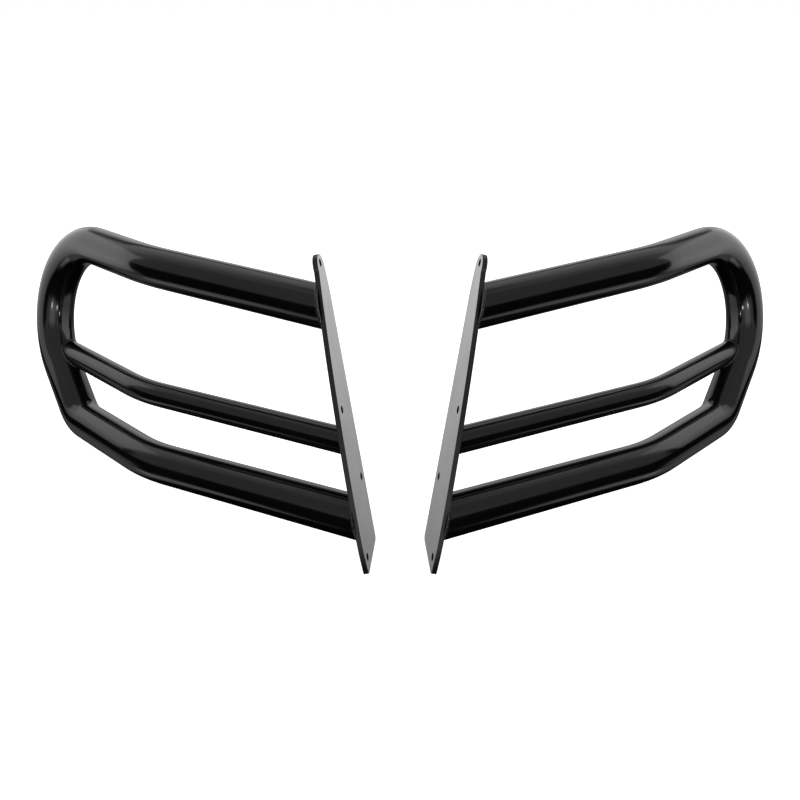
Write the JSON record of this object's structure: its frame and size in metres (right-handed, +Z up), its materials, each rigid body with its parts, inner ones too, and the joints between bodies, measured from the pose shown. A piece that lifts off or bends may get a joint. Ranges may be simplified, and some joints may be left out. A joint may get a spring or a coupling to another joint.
{
  "type": "grille guard wings",
  "caption": "Mirrored bent-tube headlight guard wings in gloss black, each a looped main tube and a middle tube welded to a raked flat bolt-on plate.",
  "frame": {"origin": "on the plane midway between the wings, centred front to rear, at the height of the plates' lowest points", "axes": "+X across the vehicle from the left wing to the right wing, +Y rearward, +Z up"},
  "size_m": [1.0508, 0.4321, 0.3271],
  "materials": {
    "tube_coat": "gloss black powder coat on steel tube",
    "plate_coat": "gloss black powder coat on flat steel plate",
    "weld_coat": "gloss black powder coat over weld beads"
  },
  "bodies": {
    "root": {"left_mounting_plate": "plate_coat", "left_main_loop_tube": "tube_coat", "left_middle_tube": "tube_coat", "left_upper_weld": "weld_coat", "left_middle_weld": "weld_coat", "left_lower_weld": "weld_coat", "left_saddle_weld": "weld_coat", "right_mounting_plate": "plate_coat", "right_main_loop_tube": "tube_coat", "right_middle_tube": "tube_coat", "right_upper_weld": "weld_coat", "right_middle_weld": "weld_coat", "right_lower_weld": "weld_coat", "right_saddle_weld": "weld_coat"}
  },
  "joints": []
}
